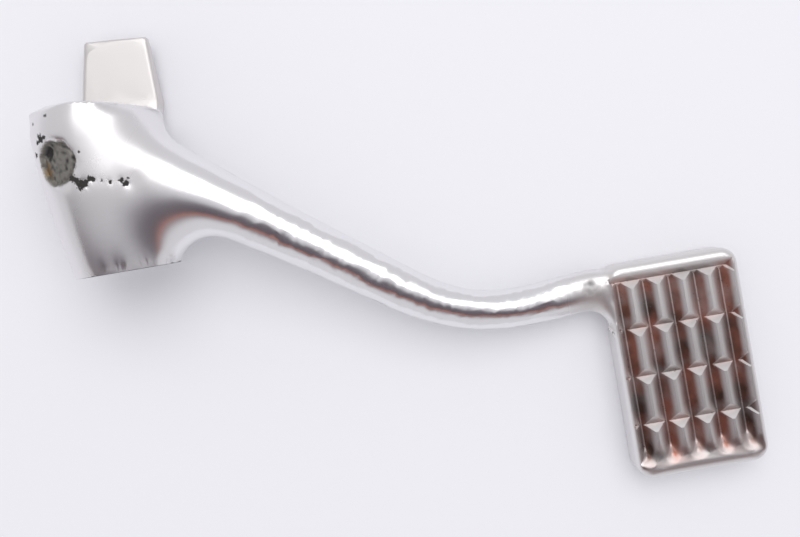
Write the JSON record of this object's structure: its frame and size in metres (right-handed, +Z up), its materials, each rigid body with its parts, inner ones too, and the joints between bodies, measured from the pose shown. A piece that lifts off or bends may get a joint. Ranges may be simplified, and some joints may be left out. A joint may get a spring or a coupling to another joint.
{
  "type": "brake pedal",
  "caption": "Cast aluminium foot brake pedal: a tapered pivot boss with a lug, a swept round arm and a rectangular pad with a cut tread.",
  "frame": {"origin": "On the spindle axis of the pivot bore, inside the boss, at the height of the bore's centre.", "axes": "+X forward from the boss toward the pad, +Y inboard along the spindle axis, +Z up, the way the tread faces."},
  "size_m": [0.1853, 0.1483, 0.0363],
  "materials": {
    "cast_aluminium": "polished casting, worn"
  },
  "bodies": {
    "root": {"brake_pedal": "cast_aluminium"}
  },
  "joints": []
}
